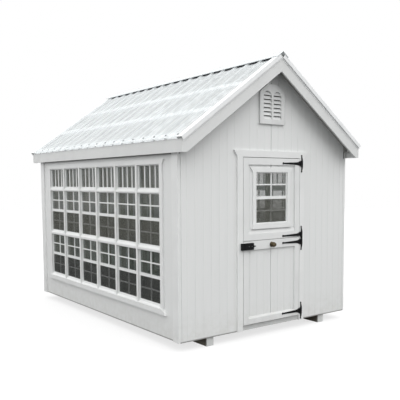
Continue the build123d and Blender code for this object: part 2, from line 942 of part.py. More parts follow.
def hinge_plate(levels):
    """Upright plate on the casing with a ball at each end and the fixed parts of the pin beside each strap."""
    back = trim_face - seat
    face = back - strap_thick
    near = pin_x + knuckle_radius + knuckle_play
    neck = near + plate_neck
    far = near + plate_width
    low = min(levels) - plate_height / 2
    high = max(levels) + plate_height / 2
    waist_low = min(levels) - fan_reach
    waist_high = max(levels) + fan_reach
    points = [(near, low), (neck, low), (far, waist_low), (far, waist_high), (neck, high), (near, high)]
    plate = panel_front(points, face, back)
    for end in (low, high):
        base = Plane(origin=((near + neck) / 2, back, end), z_dir=(0, -1, 0))
        plate = plate + base * Cylinder(finial_radius, strap_thick, align=(Align.CENTER, Align.CENTER, Align.MIN))
    half_stub = knuckle_height / 4
    reach = knuckle_height / 2 + knuckle_play + half_stub
    for level in levels:
        for centre in (level - reach, level + reach):
            plate = plate + Pos(pin_x, pin_y, centre) * Cylinder(pin_radius, 2 * half_stub)
            plate = plate + block(pin_x, far, face, back, centre - half_stub, centre + half_stub)
    return plate


def hinge_plates():
    top, upper = upper_strap_levels
    lower, bottom = lower_strap_levels
    return [hinge_plate((top,)), hinge_plate((lower, upper)), hinge_plate((bottom,))]


def upper_straps():
    top, upper = upper_strap_levels
    return [strap(top, fan_reach), strap(upper, knuckle_height / 2)]


def lower_straps():
    return [strap(level, fan_reach) for level in lower_strap_levels]


def latch():
    """Box latch on the meeting rail with a pointed thumb piece at its end."""
    half = latch_height / 2
    back = trim_face - seat
    box = block(door_left, door_left + latch_length, back - latch_depth, back, latch_level - half, latch_level + half)
    start = door_left + latch_length
    end = start + latch_tip_length
    points = [(start, latch_level - latch_tip_half), (end, latch_level - latch_tip_end)]
    points += [(end, latch_level + latch_tip_end), (start, latch_level + latch_tip_half)]
    middle = back - latch_depth / 2
    return [box + panel_front(points, middle - latch_tip_half, middle + latch_tip_half)]


def latch_keeper():
    half = latch_height / 2
    back = trim_face - seat
    right = opening_left
    return [block(right - keeper_length, right, back - latch_depth, back, latch_level - half, latch_level + half)]


def knob():
    """Round knob on a neck and a low rose, turned about its own axis."""
    neck_end = rosette_thick + knob_neck_length
    profile = [(0, 0), (rosette_radius, 0), (knob_neck_radius, rosette_thick), (knob_neck_radius, neck_end)]
    profile += [(knob_radius * across, neck_end + knob_depth * along) for across, along in knob_shares]
    turned = revolve(Plane.XZ * make_face(Polyline(*profile, close=True)), axis=Axis.Z)
    return [Plane(origin=(door_offset + knob_offset, trim_face - seat, latch_level), z_dir=(0, -1, 0)) * turned]


def mirrored(pieces):
    return [mirror(piece, about=Plane.YZ) for piece in pieces]


os.makedirs("parts", exist_ok=True)
save("skids", skids())
save("floor_frame", floor_frame())
save("floor_deck", floor_deck())
save("front_wall_left", front_wall_left())
save("front_wall_right", front_wall_right())
save("front_wall_gable", front_wall_gable())
save("back_wall", back_wall())
save("left_wall", left_wall())
save("right_wall", mirrored(left_wall()))
save("left_studs", side_studs())
save("right_studs", mirrored(side_studs()))
save("gable_studs", gable_studs())
save("corner_boards", corner_boards())
save("left_window_trim", bank_trim())
save("left_window_frames", bank_sashes())
save("left_window_glass", bank_glass())
save("right_window_trim", mirrored(bank_trim()))
save("right_window_frames", mirrored(bank_sashes()))
save("right_window_glass", mirrored(bank_glass()))
save("rafters", rafters())
save("ridge_board", ridge_board())
save("purlins", purlins())
save("roof_sheet_left", roof_sheet())
save("roof_sheet_right", mirrored(roof_sheet()))
save("ridge_cap", ridge_cap())
save("ridge_closures", ridge_closures())
save("soffits", soffits())
save("fascias", fascias())
save("barge_boards", barge_boards())
save("rake_flashings", rake_flashings())
save("front_vent", gable_vent())
save("back_vent", [mirror(piece, about=Plane.XZ) for piece in gable_vent()])
save("door_casing", door_casing())
save("threshold", threshold())
save("hinge_plates", hinge_plates())
save("latch_keeper", latch_keeper())
save("upper_leaf_panel", upper_leaf_panel())
save("upper_leaf_frame", upper_leaf_frame())
save("leaf_window_trim", leaf_window_trim())
save("leaf_window_frame", leaf_window_sash())
save("leaf_window_glass", leaf_window_glass())
save("upper_straps", upper_straps())
save("lower_leaf_panel", lower_leaf_panel())
save("lower_leaf_frame", lower_leaf_frame())
save("lower_straps", lower_straps())
save("latch", latch())
save("knob", knob())
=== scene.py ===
import json
import math

import bpy
import numpy as np
from mathutils import Matrix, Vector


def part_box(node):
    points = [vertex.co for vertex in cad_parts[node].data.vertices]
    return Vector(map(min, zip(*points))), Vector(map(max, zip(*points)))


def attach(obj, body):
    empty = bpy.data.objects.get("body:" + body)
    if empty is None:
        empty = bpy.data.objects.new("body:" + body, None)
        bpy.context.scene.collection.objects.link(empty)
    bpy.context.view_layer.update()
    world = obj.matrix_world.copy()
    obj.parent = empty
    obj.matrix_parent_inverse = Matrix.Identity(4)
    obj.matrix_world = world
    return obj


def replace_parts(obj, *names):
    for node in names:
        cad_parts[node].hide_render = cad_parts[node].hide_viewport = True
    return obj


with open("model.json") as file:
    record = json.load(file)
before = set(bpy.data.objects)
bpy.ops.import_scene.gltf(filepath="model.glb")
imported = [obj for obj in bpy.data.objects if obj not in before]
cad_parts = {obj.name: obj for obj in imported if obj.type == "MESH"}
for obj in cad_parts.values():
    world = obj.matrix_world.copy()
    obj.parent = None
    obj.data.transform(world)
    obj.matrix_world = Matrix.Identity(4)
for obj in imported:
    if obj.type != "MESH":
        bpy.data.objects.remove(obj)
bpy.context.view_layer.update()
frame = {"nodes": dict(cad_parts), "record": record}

# All lengths are metres in the frame: x across the door wall, y along the ridge, z up.

# Grooved siding
GROOVE_PITCH = 0.1045
GROOVE_WIDTH = 0.0044
GROOVE_DEPTH = 0.0017
GROOVE_FLOOR_SHARE = 0.6
GROOVES_EACH_WAY = 60
JOINT_WIDTH = 0.0085
JOINT_DEPTH = 0.01
CORNER_JOINT = 0.0045
CORNER_DEPTH = 0.006
PLAIN_EDGE = 0.00002
LEAST_BOARD = 0.012
VENT_HOLE_SIDE = 0.043
VENT_HOLE_LOW = 0.04
VENT_HOLE_HIGH = 0.07

# Window bars, insect screens and the sill of the leaf's window
BAR_HALF_WIDTH = 0.009
BAR_FACE_HALF = 0.0055
BAR_PROUD = 0.007
LEVEL_BAR_PROUD = 0.0064
BAR_LAP = 0.003
SASH_BARS = 1
TRANSOM_BARS = 3
SCREEN_OUT = 0.0085
SCREEN_THICK = 0.0006
SCREEN_BELLY = 0.0008
SCREEN_STEPS = 9
VENT_SCREEN_IN = 0.006
SILL_INSET = 0.0012
SILL_NOSE = 0.003
SASH_FACE = 0.011
SASH_PROUD = 0.01
LEAF_CASING_THICK = 0.014
CORNER_DIGITS = 4

# Weather seals of the doorway, black so that they also paint in the shade of the gaps round the leaves
SEAL_WIDTH = 0.013
SEAL_THICK = 0.0024
SEAL_LIFT = 0.0002
SEAL_ACROSS_SHARES = (0, 1, 1, 0.5, 0)
SEAL_CROWN_SHARES = (0, 0, 0.6, 1, 0.6)
STOP_THICK = 0.012

# Fixings
RIB_PITCH = 0.2245
RIB_SHIFT = 0.074
RIB_STAND = 0.021
RIBS_EACH_WAY = 20
SHEET_THICK = 0.002
EAVE_SCREW_RISE = 0.086
EAVE_END = 0.1
SCREW_SIDES = 12
NEARLY_ALONG = 0.9
WASHER_PROFILE = (
    (0.011, 0.0), (0.011, 0.0016), (0.0088, 0.0028),
    (0.0056, 0.003), (0.0052, 0.0072), (0.0034, 0.0084),
)
DOME_PROFILE = ((0.0052, 0.0), (0.0050, 0.0009), (0.0040, 0.0019), (0.0022, 0.0025))
FAN_REACH = 0.034
HALF_KNUCKLE = 0.017
STRAP_FACE = 0.0043
STRAP_SCREW_SHARES = (0.3, 0.55, 0.8)
PLATE_SCREW_INSET = 0.028
PLATE_SCREW_SIDE = 0.006
LATCH_SCREW_SHARES = (0.36, 0.62)

# Painted shade, splashed dirt, and darkening or paling by height: the heights between which they fade,
# their edges and their greatest shares
DARKEN_EDGE = 0.001
LOW_DARK_FULL = 0.45
LOW_DARK_NONE = 0.75
INNER_LOW_DARK_SHARE = 0.9
# Painted shade at the top of the long walls, behind the fascias: how far down it reaches and its greatest
# share
EAVE_SHADE_DROP = 0.016
EAVE_SHADE_SHARE = 0.85
# Painted shade along the foot of the siding: where it is full, where it ends and its greatest share
FOOT_SHADE_FULL = 0.006
FOOT_SHADE_NONE = 0.016
FOOT_SHADE_SHARE = 0.85
SPLASH_LOW = 0.1
SIDING_SPLASH_TOP = 0.42
SIDING_SPLASH_SHARE = 0.35
TRIM_SPLASH_TOP = 0.35
TRIM_SPLASH_SHARE = 0.3
# Painted shade on upward-facing ledges: how far up they face, and its greatest share
LEDGE_RISE = (0.15, 0.5)
LEDGE_SHADE_SHARE = 0.36
# Heights over which the screen cloth turns paler
SCREEN_PALE_HEIGHTS = (0.75, 1.15)
SKID_PAINT_DEEP = 0.02
SKID_PAINT_EDGE = 0.002

# Patterns: how rough the noise is, and the range in which most of its values lie
NOISE_ROUGHNESS = 0.55
MIDDLE = (0.3, 0.7)
WHOLE = (0, 1)

# Covers of the see-through finishes
SHEET_COVER = (0.41, 0.44)
CAP_COVER = (0.72, 0.84)
SCREEN_COVER = (0.37, 0.43)
# Nearly opaque, so that the vent screens also stand as painted shade behind the louvres
VENT_SCREEN_SHADE_COVER = (0.86, 0.96)
GLASS_COVER = (0.48, 0.27)
GLASS_COVER_SPREAD = (0.88, 1.12)

# Colours
SIDING_WHITE = (0.772, 0.782, 0.777)
SIDING_STREAK = (0.757, 0.769, 0.763)
SIDING_DIRT = (0.52, 0.51, 0.47)
# Painted shade along the foot of the siding
FOOT_SHADE_GREY = (0.16, 0.16, 0.15)
# Painted shade in the recess behind the fascias
EAVE_SHADE_GREY = (0.1, 0.1, 0.095)
# Darker low down on the inside faces of the long walls
INNER_WALL_DARK = (0.15, 0.155, 0.125)
TRIM_WHITE = (0.805, 0.815, 0.81)
ROOF_TRIM_WHITE = (0.71, 0.72, 0.715)
LEAF_TRIM_WHITE = (0.77, 0.78, 0.775)
PURLIN_WHITE = (0.93, 0.94, 0.935)
# Grey of the soffits, darkened as painted shade under the overhangs
SOFFIT_SHADE_GREY = (0.42, 0.42, 0.41)
# Grey of the threshold, darkened as painted shade under the lower leaf
THRESHOLD_SHADE_GREY = (0.6, 0.61, 0.605)
TRIM_PATCH_SHARE = 0.945
TRIM_DIRT = (0.5, 0.49, 0.45)
# Painted shade on upward-facing ledges
LEDGE_SHADE_GREY = (0.4, 0.4, 0.385)
WHITEWASH = (0.6, 0.595, 0.55)
WHITEWASH_GRAIN = (0.5, 0.49, 0.44)
TREATED_TIMBER = (0.2, 0.185, 0.15)
TREATED_GRAIN = (0.11, 0.1, 0.085)
FLOOR_PAINT = (0.17, 0.175, 0.155)
FLOOR_PAINT_GRAIN = (0.13, 0.13, 0.115)
GROWTH_BAND_SHARE = 0.75
# Darker low down on timber inside the long walls
INNER_WOOD_DARK = (0.13, 0.13, 0.105)
SKID_PAINT = (0.62, 0.63, 0.62)
SHEET_CLEAR = (0.84, 0.872, 0.882)
SHEET_RUN = (0.83, 0.862, 0.872)
FOAM_BLACK = (0.012, 0.013, 0.018)
FOAM_CELL = (0.03, 0.031, 0.038)
METAL_WHITE = (0.87, 0.88, 0.88)
METAL_RIPPLE = (0.8, 0.815, 0.82)
FRAME_WHITE = (0.84, 0.85, 0.845)
VENT_WHITE = (0.74, 0.75, 0.745)
PLASTIC_PATCH_SHARE = 0.9
GLASS_GREEN = (0.06, 0.078, 0.066)
GLASS_DUST = (0.125, 0.143, 0.125)
SCREEN_DARK = (0.05, 0.053, 0.05)
SCREEN_PALE = (0.105, 0.107, 0.09)
COAT_BLACK = (0.006, 0.006, 0.007)
COAT_RUBBED = (0.022, 0.022, 0.024)
ZINC_GREY = (0.2, 0.205, 0.21)
ZINC_STAIN = (0.12, 0.122, 0.125)
BRONZE_BROWN = (0.1, 0.078, 0.045)
BRONZE_WORN = (0.19, 0.155, 0.1)

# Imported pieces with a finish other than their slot's
NODE_FINISHES = {
    "skids": "skid",
    "purlins": "purlin",
    "fascias": "roof_trim",
    "barge_boards": "roof_trim",
    "soffits": "soffit",
    "threshold": "threshold",
    "upper_leaf_frame": "leaf_trim",
    "lower_leaf_frame": "leaf_trim",
}

# Floor, dome and lamps
FLOOR_RADIUS = 30.0
FLOOR_SIDES = 48
FLOOR_PALE = 0.95
FLOOR_SHADE = 0.12
FLOOR_GLOW = 0.72
DOME_TOP = 1.7
DOME_RIM_SHARE = 0.4
LAMP_ANGLE = 60.0
KEY_STRENGTH = 0.88
KEY_FROM = (0.25, -0.8, 0.9)
FILL_STRENGTH = 0.68
FILL_FROM = (-0.95, -0.2, 0.15)

# Camera at the place where the view was taken from
CAMERA_PLACE = (-4.4369, -6.6401, 1.7320)
CAMERA_YAW = 37.66
CAMERA_PITCH = -4.58
CAMERA_ROLL = -0.20
CAMERA_LENS = 52.21
CAMERA_SENSOR = 36.0
CAMERA_SHIFT = (-0.05, 0.07)

# Upper edge of the gable siding, read from the frame
gable_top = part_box("front_wall_gable")[1]
left_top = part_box("front_wall_left")[1]
SIDING_APEX = gable_top.z
ROOF_SLOPE = (gable_top.z - left_top.z) / abs(left_top.x)


# Mesh making

def mesh_piece(name, shape, material, body, smooth=False):
    """One piece from an array of points and arrays of faces.

    It rides on a body and is finished from a slot. A piece of the stage has neither.
    """
    points, faces = shape
    corners = np.concatenate([group.ravel() for group in faces])
    sizes = np.concatenate([np.full(len(group), group.shape[1]) for group in faces])
    mesh = bpy.data.meshes.new(name)
    mesh.vertices.add(len(points))
    mesh.vertices.foreach_set("co", points.ravel().astype(np.float32))
    mesh.loops.add(len(corners))
    mesh.loops.foreach_set("vertex_index", corners.astype(np.int32))
    mesh.polygons.add(len(sizes))
    mesh.polygons.foreach_set("loop_start", (np.cumsum(sizes) - sizes).astype(np.int32))
    mesh.polygons.foreach_set("use_smooth", np.full(len(sizes), smooth))
    mesh.update(calc_edges=True)
    mesh.validate()
    mesh.materials.append(material)
    piece = bpy.data.objects.new(name, mesh)
    bpy.context.scene.collection.objects.link(piece)
    if body:
        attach(piece, body)
    return piece


def carried(rings):
    """Skin of closed profiles carried along paths, from rings (pieces, steps, profile points, 3).

    Each profile point joins its neighbour and the same two points of the next ring. The first and last
    rings close the ends. A profile that runs clockwise about its path is turned round, so that faces point
    outwards.
    """
    first = rings[:, 0]
    area = np.cross(first, np.roll(first, -1, axis=1)).sum(axis=1)
    path = rings[:, -1].mean(axis=1) - first.mean(axis=1)
    clockwise = (area * path).sum(axis=1) < 0
    rings = np.where(clockwise[:, None, None, None], rings[:, :, ::-1], rings)
    index = np.arange(rings.size // 3).reshape(rings.shape[:3])
    beside = np.roll(index, -1, axis=2)
    sides = [index[:, :-1], beside[:, :-1], beside[:, 1:], index[:, 1:]]
    sides = np.stack(sides, axis=-1).reshape(-1, 4)
    ends = np.concatenate([index[:, 0, ::-1], index[:, -1]])
    return rings.reshape(-1, 3), [sides, ends]


def joined(shapes):
    """Several shapes as one: their points in a row, and each one's faces counted on from the last."""
    starts = np.cumsum([0] + [len(points) for points, _ in shapes[:-1]])
    points = np.concatenate([points for points, _ in shapes])
    faces = [group + start for (_, groups), start in zip(shapes, starts) for group in groups]
    return points, faces


def turned(centres, axis, profile):
    """Round heads: a profile of radius and height turned about an axis through each centre.

    A point is centre + radius (side cos a + up sin a) + height axis, with a going once round.
    """
    axis = np.array(axis, float) / np.linalg.norm(axis)
    side = np.cross(axis, (0.0, 1.0, 0.0) if abs(axis[1]) < NEARLY_ALONG else (1.0, 0.0, 0.0))
    side = side / np.linalg.norm(side)
    up = np.cross(axis, side)
    radius, height = np.array(profile).T
    angle = np.linspace(0, 2 * math.pi, SCREW_SIDES, endpoint=False)
    circle = np.cos(angle)[:, None] * side + np.sin(angle)[:, None] * up
    heads = radius[:, None, None] * circle + height[:, None, None] * axis
    return carried(np.array(centres, float)[:, None, None, :] + heads)


# Grooved siding

class Wall:
    """A flat wall: the axis it runs along, the place of its outer face, the way in and its thickness.

    Its grooves are counted from a first line. Where it has corners, at that distance either way along it,
    an open joint lies there.
    """

    def __init__(self, axis, face, inward, thick, first_line, corner):
        self.axis = axis
        self.face = face
        self.inward = inward
        self.thick = thick
        self.first_line = first_line
        self.corner = corner

    def place(self, along, depth, height):
        """Points from distances along the wall, into it from its face, and up."""
        across = self.face + self.inward * depth
        order = (along, across) if self.axis == "x" else (across, along)
        return np.stack([*order, height], axis=-1)


def roof_line(along):
    """Height of the upper edge of the gable siding at a distance from the ridge."""
    return SIDING_APEX - ROOF_SLOPE * np.abs(along)


def level(height):
    """A level line at one height."""
    return lambda along: np.full_like(along, height)


def boards(wall, start, end, low_line, high_line, grooved=True):
    """Boards of one stretch of siding between two ends and two lines.

    The stretch is cut at every groove line. Each board's plan profile has eight points: back, groove side,
    groove floor and face edge at one end, and the same in mirror image at the other. It is carried up from
    the low line to the high line. Ends that are no groove line keep a hair-thin edge, apart from those at
    the wall's corners.
    """
    lines = wall.first_line + GROOVE_PITCH * np.arange(-GROOVES_EACH_WAY, GROOVES_EACH_WAY + 1)
    inside = (lines > start + LEAST_BOARD) & (lines < end - LEAST_BOARD)
    lines = lines[inside] if grooved else lines[:0]
    edges = np.concatenate([[start], lines, [end]])
    is_line = np.isin(edges, lines)
    is_joint = is_line & np.isclose(edges, wall.first_line)
    at_corner = np.isclose(np.abs(edges), wall.corner)
    kinds = [at_corner, is_joint, is_line]
    half = np.select(kinds, [CORNER_JOINT, JOINT_WIDTH / 2, GROOVE_WIDTH / 2], PLAIN_EDGE)
    deep = np.select(kinds, [CORNER_DEPTH, JOINT_DEPTH, GROOVE_DEPTH], PLAIN_EDGE)
    left, right = edges[:-1], edges[1:]
    half_left, half_right = half[:-1], half[1:]
    deep_left, deep_right = deep[:-1], deep[1:]
    back = np.full_like(left, wall.thick)
    face = np.zeros_like(left)
    floor_left = left + half_left * GROOVE_FLOOR_SHARE
    floor_right = right - half_right * GROOVE_FLOOR_SHARE
    along = [left, left, floor_left, left + half_left, right - half_right, floor_right, right, right]
    depth = [back, deep_left, deep_left, face, face, deep_right, deep_right, back]
    along, depth = np.stack(along, axis=-1), np.stack(depth, axis=-1)
    rings = [wall.place(along, depth, line(along)) for line in (low_line, high_line)]
    return carried(np.stack(rings, axis=1))


def around_hole(wall, start, end, low_line, high_line, hole, grooved=True):
    """Four stretches of siding around a hole given as its two ends and its low and high level."""
    hole_start, hole_end, hole_low, hole_high = hole
    return [
        boards(wall, start, hole_start, low_line, high_line, grooved),
        boards(wall, hole_end, end, low_line, high_line, grooved),
        boards(wall, hole_start, hole_end, low_line, level(hole_low), grooved),
        boards(wall, hole_start, hole_end, level(hole_high), high_line, grooved),
    ]


def vent_hole():
    """Hole behind a gable vent, drawn in from the vent's box."""
    low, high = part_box("front_vent")
    start, end = low.x + VENT_HOLE_SIDE, high.x - VENT_HOLE_SIDE
    return start, end, low.z + VENT_HOLE_LOW, high.z - VENT_HOLE_HIGH


def wall_from(node, axis="x", outward=-1, first_line=0.0, corner=math.inf):
    """The wall that a siding node fills, read from its box, with its outer face on the outward side."""
    low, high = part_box(node)
    place = 1 if axis == "x" else 0
    face = low[place] if outward < 0 else high[place]
    return Wall(axis, face, -outward, high[place] - low[place], first_line, corner)


def front_siding(paint):
    """Siding left and right of the doorway and in the gable over it."""
    wall = wall_from("front_wall_left", corner=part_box("front_wall_right")[1].x)
    for node in ("front_wall_left", "front_wall_right"):
        low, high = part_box(node)
        shape = boards(wall, low.x, high.x, level(low.z), roof_line)
        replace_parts(mesh_piece(node.replace("wall", "siding"), shape, paint, "building"), node)
    low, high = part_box("front_wall_gable")
    shape = joined(around_hole(wall, low.x, high.x, level(low.z), roof_line, vent_hole()))
    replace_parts(mesh_piece("front_siding_gable", shape, paint, "building"), "front_wall_gable")


def back_siding(paint):
    """Siding of the whole back gable."""
    low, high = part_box("back_wall")
    wall = wall_from("back_wall", outward=1, corner=high.x)
    shape = joined(around_hole(wall, low.x, high.x, level(low.z), roof_line, vent_hole()))
    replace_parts(mesh_piece("back_siding", shape, paint, "building"), "back_wall")


def side_siding(side, outward, paint):
    """Siding of a long wall around its window bank."""
    node = side + "_wall"
    low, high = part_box(node)
    wall = wall_from(node, "y", outward, low.y)
    sash_low, sash_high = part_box(side + "_window_frames")
    hole = (sash_low.y, sash_high.y, sash_low.z, sash_high.z)
    shape = joined(around_hole(wall, low.y, high.y, level(low.z), level(high.z), hole, grooved=False))
    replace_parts(mesh_piece(side + "_siding", shape, paint, "building"), node)


def leaf_siding(paint):
    """Panels of the two door leaves, the upper one with a hole for its window."""
    wall = wall_from("lower_leaf_panel")
    low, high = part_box("lower_leaf_panel")
    shape = boards(wall, low.x, high.x, level(low.z), level(high.z))
    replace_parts(mesh_piece("lower_leaf_siding", shape, paint, "lower_leaf"), "lower_leaf_panel")
    low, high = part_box("upper_leaf_panel")
    sash_low, sash_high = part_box("leaf_window_frame")
    hole = (sash_low.x, sash_high.x, sash_low.z, sash_high.z)
    shape = joined(around_hole(wall, low.x, high.x, level(low.z), level(high.z), hole))
    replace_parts(mesh_piece("upper_leaf_siding", shape, paint, "upper_leaf"), "upper_leaf_panel")


# Window bars and screens

def pane_spans(node, axis):
    """Low and high edge of each row or column of panes: the places of the panes' corners, in pairs."""
    mesh = frame["nodes"][node].data
    corners = np.empty(len(mesh.vertices) * 3)
    mesh.vertices.foreach_get("co", corners)
    return np.unique(corners.reshape(-1, 3)[:, axis].round(CORNER_DIGITS)).reshape(-1, 2)


def bar_profile(wall, proud):
    """Bar section over both faces of the glass: six points, widest at the glass."""
    half, face, middle, back = BAR_HALF_WIDTH, BAR_FACE_HALF, wall.thick / 2, wall.thick + proud
    side = np.array([-face, face, half, face, -face, -half])
    depth = np.array([-proud, -proud, middle, back, back, middle])
    return side, depth


def upright_bars(wall, places, low, high):
    """Bars carried straight up at each place along the wall, their ends let into the frame."""
    side, depth = bar_profile(wall, BAR_PROUD)
    along = np.array(places, float)[:, None] + side
    depth = np.broadcast_to(depth, along.shape)
    ends = [wall.place(along, depth, np.full_like(along, z)) for z in (low - BAR_LAP, high + BAR_LAP)]
    return carried(np.stack(ends, axis=1))


def level_bars(wall, spans, height):
    """Bars carried along the wall between the edges of each column of panes at one height."""
    side, depth = bar_profile(wall, LEVEL_BAR_PROUD)
    ends = np.array(spans, float) + np.array([-BAR_LAP, BAR_LAP])
    along = np.broadcast_to(ends[:, :, None], (len(ends), 2, len(side)))
    depth = np.broadcast_to(depth, along.shape)
    return carried(wall.place(along, depth, np.broadcast_to(height + side, along.shape)))


def screen_sheets(wall, spans, low, high, out):
    """Thin screens a little way out from a wall's face, closed sheets with a slight belly.

    Over u and v from 0 to 1 across and up a pane, the sheet stands out by belly times sin(pi u) sin(pi v).
    The same grid set back by the thickness is its back, and the two rims are joined.
    """
    share = np.linspace(0, 1, SCREEN_STEPS)
    u, v = np.meshgrid(share, share)
    belly = out + SCREEN_BELLY * np.sin(math.pi * u) * np.sin(math.pi * v)
    shapes = []
    for start, end in spans:
        along = start + (end - start) * u
        height = low + (high - low) * v
        front = wall.place(along, -belly, height)
        back = wall.place(along, SCREEN_THICK - belly, height)
        shapes.append(closed_sheet(front, back, wall))
    return joined(shapes)


def closed_sheet(front, back, wall):
    """Front and back grids of one sheet, skinned and joined along their rims, with faces outwards."""
    rows, columns = front.shape[:2]
    index = np.arange(rows * columns).reshape(rows, columns)
    quads = [index[:-1, :-1], index[:-1, 1:], index[1:, 1:], index[1:, :-1]]
    quads = np.stack(quads, axis=-1).reshape(-1, 4)
    rim = np.concatenate([index[0, :-1], index[:-1, -1], index[-1, :0:-1], index[:0:-1, 0]])
    after = np.roll(rim, -1)
    behind = rows * columns
    edge = np.stack([after, rim, rim + behind, after + behind], axis=-1)
    faces = np.concatenate([quads, quads[:, ::-1] + behind, edge])
    faces_out = (wall.axis == "x") == (wall.inward > 0)
    points = np.concatenate([front.reshape(-1, 3), back.reshape(-1, 3)])
    return points, [faces if faces_out else faces[:, ::-1]]


def sloped_sills(wall, trim_face, spans, low):
    """Weathered sills at the foot of a row of windows, one for each column.

    The section has five points: the back and front of the underside, the nose, the top of the nose and the
    high back edge. It is carried along the wall from one side of the opening to the other.
    """
    front = -abs(trim_face - wall.face) + SILL_INSET
    back = -SASH_PROUD
    foot = low - SASH_FACE + SILL_INSET / 2
    depth = np.array([back, front, front, front + SILL_NOSE, back])
    height = foot + np.array([0, 0, SILL_NOSE, SILL_NOSE + SILL_INSET, SASH_FACE - SILL_INSET])
    ends = np.array(spans, float) + np.array([-SASH_FACE + SILL_INSET, SASH_FACE - SILL_INSET])
    along = np.broadcast_to(ends[:, :, None], (len(ends), 2, len(depth)))
    depth, height = (np.broadcast_to(part, along.shape) for part in (depth, height))
    return carried(wall.place(along, depth, height))


def window_dressing(name, glass, axis, outward, body, finishes):
    """Bars on every pane of a window and screens over its lower panes.

    Rows of panes are counted from below: in each pair the lower one has a screen, and a last odd row is the
    transoms.
    """
    wall = wall_from(glass, axis, outward)
    columns = pane_spans(glass, 0 if axis == "x" else 1)
    rows = pane_spans(glass, 2)
    bars, screens = [], []
    for index, (low, high) in enumerate(rows):
        is_transom = len(rows) % 2 == 1 and index == len(rows) - 1
        bar_count = TRANSOM_BARS if is_transom else SASH_BARS
        shares = np.arange(1, bar_count + 1) / (bar_count + 1)
        places = columns[:, :1] + (columns[:, 1:] - columns[:, :1]) * shares
        bars.append(upright_bars(wall, places.ravel(), low, high))
        if not is_transom:
            bars.append(level_bars(wall, columns, (low + high) / 2))
        if index % 2 == 0 and not is_transom:
            screens.append(screen_sheets(wall, columns, low, high, SCREEN_OUT))
    mesh_piece(name + "_bars", joined(bars), finishes["window_frame"], body)
    mesh_piece(name + "_screens", joined(screens), finishes["screen"], body)


def leaf_sill(finishes):
    """Weathered sill at the foot of the window in the upper leaf."""
    wall = wall_from("leaf_window_glass")
    columns, rows = pane_spans("leaf_window_glass", 0), pane_spans("leaf_window_glass", 2)
    trim_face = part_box("leaf_window_trim")[1].y - LEAF_CASING_THICK
    shape = sloped_sills(wall, trim_face, columns, rows[0, 0])
    mesh_piece("leaf_window_sill", shape, finishes["window_frame"], "upper_leaf")


def door_seals_and_gap_shade(finishes):
    """Foam seals on the stops behind the leaves, one up each side and one under the head; their black also
    stands as painted shade in the gaps round the leaves.

    The section has five points, flat against the stop and with a low crown. It is carried along each stop a
    little way in from the opening's edge.
    """
    foot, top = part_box("lower_leaf_panel")[0].z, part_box("front_wall_gable")[0].z
    left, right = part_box("front_wall_left")[1].x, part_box("front_wall_right")[0].x
    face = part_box("door_casing")[1].y - STOP_THICK - SEAL_LIFT
    across = SEAL_WIDTH * np.array(SEAL_ACROSS_SHARES)
    forward = face - SEAL_THICK * np.array(SEAL_CROWN_SHARES)

    def upright(x):
        return np.stack([np.stack([x, forward, np.full_like(x, z)], axis=-1) for z in (foot, top)])

    ends = (left + SEAL_WIDTH, right - SEAL_WIDTH)
    head = [np.stack([np.full_like(across, x), forward, top - across], axis=-1) for x in ends]
    shape = carried(np.stack([upright(left + across), upright(right - across), np.stack(head)]))
    # Black foam seals that also stand as painted shade in the gaps round the leaves
    mesh_piece("door_seals_and_gap_shade", shape, finishes["closure"], "building")


def vent_screens_and_shade(finishes):
    """Dark screens in the holes behind the two gable vents, near-opaque so that they also stand as painted
    shade behind the louvres.
    """
    start, end, low, high = vent_hole()
    screens = ("front_vent_screen_shade", "front_wall_gable", -1), ("back_vent_screen_shade", "back_wall", 1)
    for name, node, outward in screens:
        wall = wall_from(node, outward=outward)
        shape = screen_sheets(wall, [(start, end)], low, high, -VENT_SCREEN_IN)
        mesh_piece(name, shape, finishes["vent_screen_shade"], "building")


# Fixings

def eave_screws(finishes):
    """Washered screws along both eaves, one midway between each two ribs, square to the slope."""
    low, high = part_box("roof_sheet_left")
    angle = math.atan(ROOF_SLOPE)
    edge_x = low.x + RIB_STAND * math.sin(angle)
    places = RIB_SHIFT + RIB_PITCH * (np.arange(-RIBS_EACH_WAY, RIBS_EACH_WAY) + 1 / 2)
    places = places[np.abs(places) < high.y - EAVE_END]
    x = edge_x + EAVE_SCREW_RISE * math.cos(angle) - SHEET_THICK * math.sin(angle)
    z = low.z + EAVE_SCREW_RISE * math.sin(angle) + SHEET_THICK * math.cos(angle)
    heads = []
    for side in (1, -1):
        centres = np.stack([np.full_like(places, side * x), places, np.full_like(places, z)], axis=-1)
        heads.append(turned(centres, (-side * math.sin(angle), 0, math.cos(angle)), WASHER_PROFILE))
    mesh_piece("eave_screws", joined(heads), finishes["screw"], "building", smooth=True)


def face_screws(name, centres, finish, body):
    """Domed screw heads at points on faces that look forward."""
    shape = turned(centres, (0, -1, 0), DOME_PROFILE)
    mesh_piece(name, shape, finish, body, smooth=True)


def strap_screws(node, levels, body, finish):
    """Domed screw heads along each strap."""
    low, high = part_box(node)
    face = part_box("lower_leaf_frame")[0].y - STRAP_FACE
    places = high.x + (low.x - high.x) * np.array(STRAP_SCREW_SHARES)
    face_screws(node + "_screws", [(x, face, z) for z in levels for x in places], finish, body)


